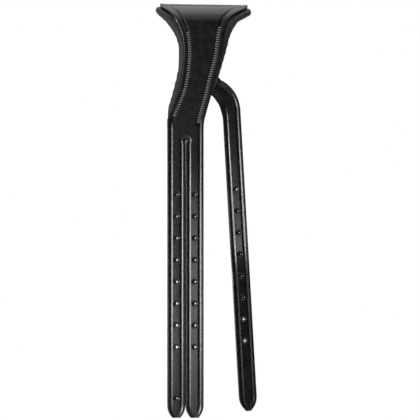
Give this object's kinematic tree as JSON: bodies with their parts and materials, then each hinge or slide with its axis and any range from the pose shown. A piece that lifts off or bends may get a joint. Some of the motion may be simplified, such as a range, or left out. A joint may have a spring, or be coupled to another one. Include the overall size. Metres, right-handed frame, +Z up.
{
  "type": "martingale",
  "caption": "Padded leather crown strap folded at the top, with a slit double billet in front and a single curved billet behind, each punched for buckles.",
  "frame": {"origin": "lining under the top of the fold, where the crown bears on what carries it", "axes": "+Z up, +X across the strap to the right seen from the near half, +Y from the near half to the far half"},
  "size_m": [0.1074, 0.0364, 0.4365],
  "materials": {
    "bridle_leather": "black bridle leather, waxed, soft sheen",
    "lining_leather": "soft black lining leather, matte sheen",
    "foam": "dark closed-cell padding foam"
  },
  "bodies": {
    "crown": {"crown_leather": "bridle_leather", "crown_foam": "foam", "crown_lining": "lining_leather"},
    "far_half": {"far_leather": "bridle_leather", "far_foam": "foam", "far_lining": "lining_leather"},
    "front_left": {"front_left_billet": "bridle_leather"},
    "front_right": {"front_right_billet": "bridle_leather"},
    "rear": {"rear_billet": "bridle_leather"}
  },
  "joints": [
    {"name": "far_half_bend", "type": "hinge", "parent": "crown", "child": "far_half", "pos_m": [0, 0.01295, -0.0077], "axis": [1, 0, 0], "range_deg": [0, 45]},
    {"name": "front_left_bend", "type": "hinge", "parent": "crown", "child": "front_left", "pos_m": [-0.0288, -0.01655, -0.14101], "axis": [1, 0, 0], "range_deg": [-45, 30]},
    {"name": "front_right_bend", "type": "hinge", "parent": "crown", "child": "front_right", "pos_m": [-0.0093, -0.01655, -0.14101], "axis": [1, 0, 0], "range_deg": [-45, 30]},
    {"name": "rear_bend", "type": "hinge", "parent": "far_half", "child": "rear", "pos_m": [0.0298, 0.01655, -0.10345], "axis": [0.9984, 0, 0.0569], "range_deg": [-30, 45]}
  ]
}
